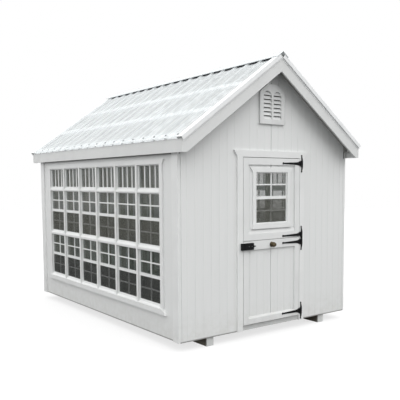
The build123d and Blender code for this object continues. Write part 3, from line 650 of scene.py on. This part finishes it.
def hinge_screws(finishes):
    """Screw heads on the straps of both leaves, on the plates and on the latch."""
    finish = finishes["hardware"]
    low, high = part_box("upper_straps")
    upper_levels = (high.z - FAN_REACH, low.z + HALF_KNUCKLE)
    strap_screws("upper_straps", upper_levels, "upper_leaf", finish)
    low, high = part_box("lower_straps")
    lower_levels = (high.z - FAN_REACH, low.z + FAN_REACH)
    strap_screws("lower_straps", lower_levels, "lower_leaf", finish)
    low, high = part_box("hinge_plates")
    x = (low.x + high.x) / 2 + PLATE_SCREW_SIDE
    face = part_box("door_casing")[0].y - STRAP_FACE
    insets = (-PLATE_SCREW_INSET, PLATE_SCREW_INSET)
    centres = [(x, face, z + inset) for z in upper_levels + lower_levels for inset in insets]
    face_screws("hinge_plate_screws", centres, finish, "building")
    low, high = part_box("latch")
    z = (low.z + high.z) / 2
    centres = [(low.x + (high.x - low.x) * share, low.y, z) for share in LATCH_SCREW_SHARES]
    face_screws("latch_screws", centres, finishes["screw"], "lower_leaf")


# Finishes

class Finish:
    """A material whose patterns lie on Object coordinates, made node by node."""

    def __init__(self, name, roughness, **sockets):
        self.material = bpy.data.materials.new(name)
        self.material.use_nodes = True
        self.tree = self.material.node_tree
        self.shader = self.tree.nodes["Principled BSDF"]
        self.shader.inputs["Roughness"].default_value = roughness
        for socket, value in sockets.items():
            self.shader.inputs[socket.replace("_", " ")].default_value = value
        self.place = self.tree.nodes.new("ShaderNodeTexCoord").outputs["Object"]

    def node(self, kind, links=None, **values):
        """A new node with values on its sockets and links from other nodes."""
        node = self.tree.nodes.new(kind)
        for socket, value in values.items():
            node.inputs[socket.replace("_", " ")].default_value = value
        for socket, source in (links or {}).items():
            self.tree.links.new(source, node.inputs[socket])
        return node

    def set(self, socket, source):
        """Links a socket of the shader."""
        self.tree.links.new(source, self.shader.inputs[socket])

    def vary(self, socket, source, start, end, over=MIDDLE):
        """Runs a socket of the shader from one value to another over a range of a pattern."""
        self.set(socket, self.span(source, *over, start, end))

    def noise(self, scale, stretch=(1, 1, 1), detail=4.0):
        """Cloudy pattern, with its own scale along each axis."""
        place = self.node("ShaderNodeMapping", {"Vector": self.place}, Scale=stretch).outputs["Vector"]
        values = {"Scale": scale, "Detail": detail, "Roughness": NOISE_ROUGHNESS}
        return self.node("ShaderNodeTexNoise", {"Vector": place}, **values).outputs["Fac"]

    def span(self, source, low, high, to_low, to_high):
        """A value spread from one range to another and held at its ends."""
        values = {"From_Min": low, "From_Max": high, "To_Min": to_low, "To_Max": to_high}
        return self.node("ShaderNodeMapRange", {"Value": source}, **values).outputs["Result"]

    def spread(self, source, low, high):
        """A pattern that is none at one value and all at another."""
        return self.span(source, low, high, *WHOLE)

    def product(self, first, second):
        """Two values multiplied."""
        node = self.node("ShaderNodeMath", {0: first, 1: second})
        node.operation = "MULTIPLY"
        return node.outputs["Value"]

    def along(self, axis):
        """Place along one axis."""
        return self.node("ShaderNodeSeparateXYZ", {"Vector": self.place}).outputs[axis]

    def distance(self, axis):
        """Distance from the middle plane along one axis."""
        node = self.node("ShaderNodeMath", {0: self.along(axis)})
        node.operation = "ABSOLUTE"
        return node.outputs["Value"]

    def upward(self):
        """How far the surface faces up: one where it is level, none where it is upright."""
        facing = self.node("ShaderNodeNewGeometry").outputs["Normal"]
        return self.node("ShaderNodeSeparateXYZ", {"Vector": facing}).outputs["Z"]

    def blend(self, share, first, second):
        """Colour between two colours, each a triple or the output of another node."""
        node = self.node("ShaderNodeMix", {"Factor": share})
        node.data_type = "RGBA"
        for socket, colour in ((node.inputs[6], first), (node.inputs[7], second)):
            if isinstance(colour, tuple):
                socket.default_value = (*colour, 1)
            else:
                self.tree.links.new(colour, socket)
        return node.outputs[2]

    def splash(self, top, most, patches):
        """Share of dirt splashed up from the ground: most at the foot, none above the top, in patches."""
        return self.product(self.span(self.along("Z"), SPLASH_LOW, top, most, 0), patches)

    def inner_low_darkening(self):
        """Share of darkening inside the long walls: most at the floor, none above the lower panes."""
        side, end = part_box("right_wall")[0].x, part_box("back_wall")[0].y
        inside_side = self.span(self.distance("X"), side + DARKEN_EDGE, side + 2 * DARKEN_EDGE, 1, 0)
        inside_end = self.span(self.distance("Y"), end - 2 * DARKEN_EDGE, end - DARKEN_EDGE, 1, 0)
        fall = self.span(self.along("Z"), LOW_DARK_FULL, LOW_DARK_NONE, INNER_LOW_DARK_SHARE, 0)
        return self.product(self.product(inside_side, inside_end), fall)

    def eave_painted_shade(self):
        """Share of painted shade at the top of the long walls, in the recess behind the fascias."""
        side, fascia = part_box("right_wall")[0].x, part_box("fascias")[0].z
        on_side = self.span(self.distance("X"), side - 2 * DARKEN_EDGE, side - DARKEN_EDGE, 0, 1)
        rise = self.span(self.along("Z"), fascia - EAVE_SHADE_DROP, fascia, 0, EAVE_SHADE_SHARE)
        return self.product(on_side, rise)

    def foot_painted_shade(self):
        """Share of painted shade along the lowest edge of the siding."""
        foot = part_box("left_wall")[0].z
        return self.span(self.along("Z"), foot + FOOT_SHADE_FULL, foot + FOOT_SHADE_NONE, FOOT_SHADE_SHARE, 0)

    def bump(self, source, distance):
        """Small relief from a pattern."""
        node = self.node("ShaderNodeBump", {"Height": source}, Distance=distance)
        self.set("Normal", node.outputs["Normal"])


def shaded(colour, share):
    """A colour with every part times a share."""
    return tuple(share * part for part in colour)


def painted_siding():
    """White paint on grooved panels: faint upright streaks, splashed dirt low down, painted shade along the
    foot and under the eaves, and darker low down inside.
    """
    paint = Finish("painted_siding", 0.5)
    streaks = paint.spread(paint.noise(scale=6, stretch=(9, 9, 0.35)), 0.35, 0.7)
    colour = paint.blend(streaks, SIDING_WHITE, SIDING_STREAK)
    patches = paint.spread(paint.noise(scale=14), 0.35, 0.75)
    dirt = paint.splash(SIDING_SPLASH_TOP, SIDING_SPLASH_SHARE, patches)
    colour = paint.blend(dirt, colour, SIDING_DIRT)
    # Painted shade along the lowest edge of the siding
    colour = paint.blend(paint.foot_painted_shade(), colour, FOOT_SHADE_GREY)
    # Painted shade at the top of the long walls, behind the fascias
    colour = paint.blend(paint.eave_painted_shade(), colour, EAVE_SHADE_GREY)
    # Darker low down on the inside faces of the long walls
    paint.set("Base Color", paint.blend(paint.inner_low_darkening(), colour, INNER_WALL_DARK))
    paint.vary("Roughness", paint.noise(scale=3), 0.42, 0.6)
    paint.bump(paint.noise(scale=30, stretch=(4, 4, 0.25), detail=6), 0.00015)
    return paint.material


def painted_trim(name, bright, ledge_shade=0.0):
    """White paint on planed boards, smoother than the siding, with a share of painted shade on its
    upward-facing ledges.
    """
    paint = Finish(name, 0.42)
    patches = paint.spread(paint.noise(scale=4), 0.35, 0.7)
    colour = paint.blend(patches, bright, shaded(bright, TRIM_PATCH_SHARE))
    if ledge_shade:
        # Painted shade on upward-facing ledges, darker the more they face up
        colour = paint.blend(paint.span(paint.upward(), *LEDGE_RISE, 0, ledge_shade), colour, LEDGE_SHADE_GREY)
    patches = paint.spread(paint.noise(scale=16), 0.4, 0.75)
    dirt = paint.splash(TRIM_SPLASH_TOP, TRIM_SPLASH_SHARE, patches)
    paint.set("Base Color", paint.blend(dirt, colour, TRIM_DIRT))
    paint.vary("Roughness", paint.noise(scale=5), 0.36, 0.5)
    paint.bump(paint.noise(scale=40, detail=5), 0.0003)
    return paint.material


def softwood(name, pale, dark, grain_axis):
    """Planed timber: long grain along one axis, with darker growth bands, and darker near the floor inside
    the long walls.
    """
    wood = Finish(name, 0.65)
    stretch = tuple(1.2 if axis == grain_axis else 14 for axis in "xyz")
    grain = wood.spread(wood.noise(scale=3, stretch=stretch, detail=6), *MIDDLE)
    broad = wood.spread(wood.noise(scale=1.4), 0.35, 0.65)
    colour = wood.blend(grain, pale, dark)
    colour = wood.blend(wood.product(broad, grain), colour, shaded(dark, GROWTH_BAND_SHARE))
    # Darker low down inside the long walls
    wood.set("Base Color", wood.blend(wood.inner_low_darkening(), colour, INNER_WOOD_DARK))
    wood.vary("Roughness", grain, 0.55, 0.75, WHOLE)
    wood.bump(grain, 0.0006)
    return wood.material


def skid_timber():
    """Rough treated timber, its ends caught by the wall paint."""
    wood = Finish("skid_timber", 0.8)
    grain = wood.spread(wood.noise(scale=4, stretch=(16, 1, 16), detail=6), *MIDDLE)
    timber = wood.blend(grain, TREATED_TIMBER, TREATED_GRAIN)
    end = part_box("skids")[1].y
    paint = wood.spread(wood.distance("Y"), end - SKID_PAINT_DEEP, end - SKID_PAINT_EDGE)
    wood.set("Base Color", wood.blend(paint, timber, SKID_PAINT))
    wood.bump(grain, 0.0012)
    return wood.material


def clear_sheet(name, cover):
    """Clear ribbed sheet gone slightly hazy: patchy cover, faint runs down the slope, a soft shine."""
    sheet = Finish(name, 0.25, Specular_IOR_Level=0.15)
    cloud = sheet.noise(scale=1.1, stretch=(1, 0.7, 1), detail=3)
    runs = sheet.noise(scale=4, stretch=(0.5, 3, 0.5), detail=2)
    sheet.set("Base Color", sheet.blend(sheet.spread(runs, 0.35, 0.7), SHEET_CLEAR, SHEET_RUN))
    sheet.vary("Alpha", cloud, *cover)
    sheet.vary("Roughness", runs, 0.22, 0.32)
    sheet.bump(cloud, 0.0004)
    return sheet.material


def black_foam():
    """Black closed-cell foam of the closure blocks and the door seals."""
    foam = Finish("black_foam", 0.85)
    cells = foam.noise(scale=90, detail=2)
    foam.set("Base Color", foam.blend(cells, FOAM_BLACK, FOAM_CELL))
    foam.bump(cells, 0.0008)
    return foam.material


def white_metal():
    """White painted sheet metal with slight ripples."""
    metal = Finish("white_metal", 0.35)
    ripple = metal.noise(scale=8, detail=3)
    metal.set("Base Color", metal.blend(metal.spread(ripple, *MIDDLE), METAL_WHITE, METAL_RIPPLE))
    metal.vary("Roughness", ripple, 0.28, 0.42)
    metal.bump(ripple, 0.001)
    return metal.material


def white_plastic(name, bright):
    """Moulded white plastic with a satin face and a little grime."""
    plastic = Finish(name, 0.35)
    patches = plastic.spread(plastic.noise(scale=9), 0.4, 0.75)
    plastic.set("Base Color", plastic.blend(patches, bright, shaded(bright, PLASTIC_PATCH_SHARE)))
    plastic.vary("Roughness", patches, 0.3, 0.45, WHOLE)
    plastic.bump(plastic.noise(scale=140, detail=2), 0.0001)
    return plastic.material


def window_glass():
    """Clear glass with a grey-green cast, faint dust and a darker film low down."""
    glass = Finish("window_glass", 0.03, IOR=1.5)
    paling = glass.spread(glass.noise(scale=3), 0.35, 0.75)
    film = glass.span(glass.along("Z"), LOW_DARK_FULL, 2 * LOW_DARK_NONE, *GLASS_COVER)
    glass.set("Base Color", glass.blend(paling, GLASS_GREEN, GLASS_DUST))
    glass.set("Alpha", glass.product(film, glass.span(paling, *WHOLE, *GLASS_COVER_SPREAD)))
    glass.vary("Roughness", paling, 0.02, 0.07, WHOLE)
    return glass.material


def insect_screen(name, cover):
    """Dark screen cloth: a fine speckle of cover, and paler higher up."""
    cloth = Finish(name, 0.7)
    weave = cloth.noise(scale=420, detail=1)
    # Paler higher up
    paling = cloth.spread(cloth.along("Z"), *SCREEN_PALE_HEIGHTS)
    cloth.set("Base Color", cloth.blend(paling, SCREEN_DARK, SCREEN_PALE))
    cloth.vary("Alpha", weave, *cover, over=(0.2, 0.8))
    cloth.bump(weave, 0.0004)
    return cloth.material


def black_metal():
    """Black powder coat with a faint texture and rubbed spots."""
    metal = Finish("black_metal", 0.55, Specular_IOR_Level=0.2)
    rubbed = metal.spread(metal.noise(scale=30), 0.62, 0.8)
    metal.set("Base Color", metal.blend(rubbed, COAT_BLACK, COAT_RUBBED))
    metal.vary("Roughness", rubbed, 0.6, 0.45, WHOLE)
    metal.bump(metal.noise(scale=220, detail=2), 0.0002)
    return metal.material


def zinc():
    """Dull zinc of the roof screws and latch screws."""
    metal = Finish("zinc", 0.4, Metallic=0.8)
    stain = metal.spread(metal.noise(scale=60), 0.4, 0.7)
    metal.set("Base Color", metal.blend(stain, ZINC_GREY, ZINC_STAIN))
    metal.bump(metal.noise(scale=150), 0.0002)
    return metal.material


def aged_bronze():
    """Brown bronze of the knob, brighter where hands rub it."""
    metal = Finish("aged_bronze", 0.35, Metallic=0.85)
    worn = metal.spread(metal.noise(scale=45), 0.4, 0.7)
    metal.set("Base Color", metal.blend(worn, BRONZE_BROWN, BRONZE_WORN))
    metal.vary("Roughness", worn, 0.45, 0.3, WHOLE)
    metal.bump(metal.noise(scale=120), 0.0002)
    return metal.material


def make_finishes():
    """One finish for each slot of the record, and those of the pieces made here."""
    return {
        "siding": painted_siding(),
        "trim": painted_trim("painted_trim", TRIM_WHITE),
        "roof_trim": painted_trim("painted_roof_trim", ROOF_TRIM_WHITE),
        "leaf_trim": painted_trim("painted_leaf_trim", LEAF_TRIM_WHITE, LEDGE_SHADE_SHARE),
        "purlin": painted_trim("painted_purlin", PURLIN_WHITE),
        # Soffits in a grey that paints in the shade under the overhangs
        "soffit": painted_trim("soffit_painted_shade", SOFFIT_SHADE_GREY),
        # Threshold in a grey that paints in the shade under the lower leaf
        "threshold": painted_trim("threshold_painted_shade", THRESHOLD_SHADE_GREY),
        "framing": softwood("whitewashed_softwood", WHITEWASH, WHITEWASH_GRAIN, "z"),
        "treated_timber": softwood("treated_timber", TREATED_TIMBER, TREATED_GRAIN, "y"),
        "skid": skid_timber(),
        "deck_board": softwood("plywood", FLOOR_PAINT, FLOOR_PAINT_GRAIN, "y"),
        "roof_sheet": clear_sheet("roof_sheet_clear", SHEET_COVER),
        "ridge_cap": clear_sheet("ridge_cap_clear", CAP_COVER),
        "closure": black_foam(),
        "flashing": white_metal(),
        "window_frame": white_plastic("window_frame_white", FRAME_WHITE),
        "window_glass": window_glass(),
        "screen": insect_screen("insect_screen", SCREEN_COVER),
        # Insect screens behind the vents, nearly opaque as painted shade behind the louvres
        "vent_screen_shade": insect_screen("vent_screen_shade", VENT_SCREEN_SHADE_COVER),
        "vent": white_plastic("vent_white", VENT_WHITE),
        "hardware": black_metal(),
        "screw": zinc(),
        "knob": aged_bronze(),
    }


def dress_nodes(finishes):
    """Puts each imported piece's finish on it, by its slot, apart from the few that differ."""
    for part in frame["record"]["subparts"]:
        name = part["node"]
        finish = finishes[NODE_FINISHES.get(name, part["material_slot"])]
        mesh = frame["nodes"][name].data
        mesh.materials.clear()
        mesh.materials.append(finish)


# Stage, light and camera

def seen_rays(tree, kinds):
    """One where the ray comes from the camera or is one of some other kinds, and nothing elsewhere."""
    path = tree.nodes.new("ShaderNodeLightPath")
    total = path.outputs["Is Camera Ray"]
    for name in kinds:
        node = tree.nodes.new("ShaderNodeMath")
        node.operation = "MAXIMUM"
        tree.links.new(total, node.inputs[0])
        tree.links.new(path.outputs[name], node.inputs[1])
        total = node.outputs["Value"]
    return total


def mixed(tree, share, first, second):
    """Shader between two others, by a number or the output of another node."""
    node = tree.nodes.new("ShaderNodeMixShader")
    if isinstance(share, float):
        node.inputs["Fac"].default_value = share
    else:
        tree.links.new(share, node.inputs["Fac"])
    tree.links.new(first, node.inputs[1])
    tree.links.new(second, node.inputs[2])
    return node.outputs["Shader"]


def floor_finish():
    """Pale floor that shows white and keeps the shadow, and sends little light back up."""
    material = bpy.data.materials.new("pale_floor")
    material.use_nodes = True
    tree = material.node_tree
    tree.nodes.clear()
    pale = tree.nodes.new("ShaderNodeBsdfDiffuse")
    pale.inputs["Color"].default_value = (FLOOR_PALE, FLOOR_PALE, FLOOR_PALE, 1)
    dim = tree.nodes.new("ShaderNodeBsdfDiffuse")
    dim.inputs["Color"].default_value = (FLOOR_SHADE, FLOOR_SHADE, FLOOR_SHADE, 1)
    glow = tree.nodes.new("ShaderNodeEmission")
    seen = mixed(tree, FLOOR_GLOW, pale.outputs["BSDF"], glow.outputs["Emission"])
    output = tree.nodes.new("ShaderNodeOutputMaterial")
    shown = seen_rays(tree, ("Is Transmission Ray",))
    tree.links.new(mixed(tree, shown, dim.outputs["BSDF"], seen), output.inputs["Surface"])
    return material


def make_floor():
    """Flat round floor: one ring of points, radius times cos a and sin a at angle a, filled by one face."""
    angle = np.linspace(0, 2 * math.pi, FLOOR_SIDES, endpoint=False)
    points = np.stack([np.cos(angle), np.sin(angle), np.zeros_like(angle)], axis=-1)
    shape = FLOOR_RADIUS * points, [np.arange(FLOOR_SIDES)[None, :]]
    mesh_piece("floor", shape, floor_finish(), None)


def make_world():
    """Overcast dome: white where it is seen, and as light brightest overhead and weakest at its rim."""
    world = bpy.data.worlds.new("dome")
    world.use_nodes = True
    bpy.context.scene.world = world
    tree = world.node_tree
    tree.nodes.clear()
    white = tree.nodes.new("ShaderNodeBackground")
    light = tree.nodes.new("ShaderNodeBackground")
    way = tree.nodes.new("ShaderNodeTexCoord")
    rise = tree.nodes.new("ShaderNodeSeparateXYZ")
    tree.links.new(way.outputs["Generated"], rise.inputs["Vector"])
    strength = tree.nodes.new("ShaderNodeMapRange")
    strength.inputs["To Min"].default_value = DOME_TOP * DOME_RIM_SHARE
    strength.inputs["To Max"].default_value = DOME_TOP
    tree.links.new(rise.outputs["Z"], strength.inputs["Value"])
    tree.links.new(strength.outputs["Result"], light.inputs["Strength"])
    for shader in (white, light):
        shader.inputs["Color"].default_value = (1, 1, 1, 1)
    output = tree.nodes.new("ShaderNodeOutputWorld")
    seen = seen_rays(tree, ("Is Glossy Ray", "Is Transmission Ray"))
    shown = mixed(tree, seen, light.outputs["Background"], white.outputs["Background"])
    tree.links.new(shown, output.inputs["Surface"])


def make_lamp(name, strength, from_way):
    """Broad soft lamp far away on one side, turned to shine from there to the middle."""
    lamp = bpy.data.lights.new(name, "SUN")
    lamp.energy = strength
    lamp.angle = math.radians(LAMP_ANGLE)
    holder = bpy.data.objects.new(name, lamp)
    way = np.array(from_way) / np.linalg.norm(from_way)
    tilt = math.acos(way[2])
    turn = math.atan2(way[1], way[0]) + math.pi / 2
    holder.rotation_euler = (tilt, 0, turn)
    bpy.context.scene.collection.objects.link(holder)


def make_camera():
    """Camera turned by yaw about the upright, then pitched and rolled, at the place of the view."""
    data = bpy.data.cameras.new("camera")
    data.lens = CAMERA_LENS
    data.sensor_width = CAMERA_SENSOR
    data.shift_x, data.shift_y = CAMERA_SHIFT
    camera = bpy.data.objects.new("camera", data)
    turn = Matrix.Rotation(math.radians(-CAMERA_YAW), 4, "Z")
    lift = Matrix.Rotation(math.radians(90 + CAMERA_PITCH), 4, "X")
    roll = Matrix.Rotation(math.radians(CAMERA_ROLL), 4, "Z")
    camera.matrix_world = Matrix.Translation(CAMERA_PLACE) @ turn @ lift @ roll
    bpy.context.scene.collection.objects.link(camera)
    bpy.context.scene.camera = camera


finishes = make_finishes()
dress_nodes(finishes)
front_siding(finishes["siding"])
back_siding(finishes["siding"])
side_siding("left", -1, finishes["siding"])
side_siding("right", 1, finishes["siding"])
leaf_siding(finishes["siding"])
window_dressing("left_window", "left_window_glass", "y", -1, "building", finishes)
window_dressing("right_window", "right_window_glass", "y", 1, "building", finishes)
window_dressing("leaf_window", "leaf_window_glass", "x", -1, "upper_leaf", finishes)
leaf_sill(finishes)
door_seals_and_gap_shade(finishes)
vent_screens_and_shade(finishes)
eave_screws(finishes)
hinge_screws(finishes)

make_floor()
make_world()
make_lamp("key", KEY_STRENGTH, KEY_FROM)
make_lamp("fill", FILL_STRENGTH, FILL_FROM)
make_camera()
bpy.context.scene.view_settings.view_transform = "Standard"
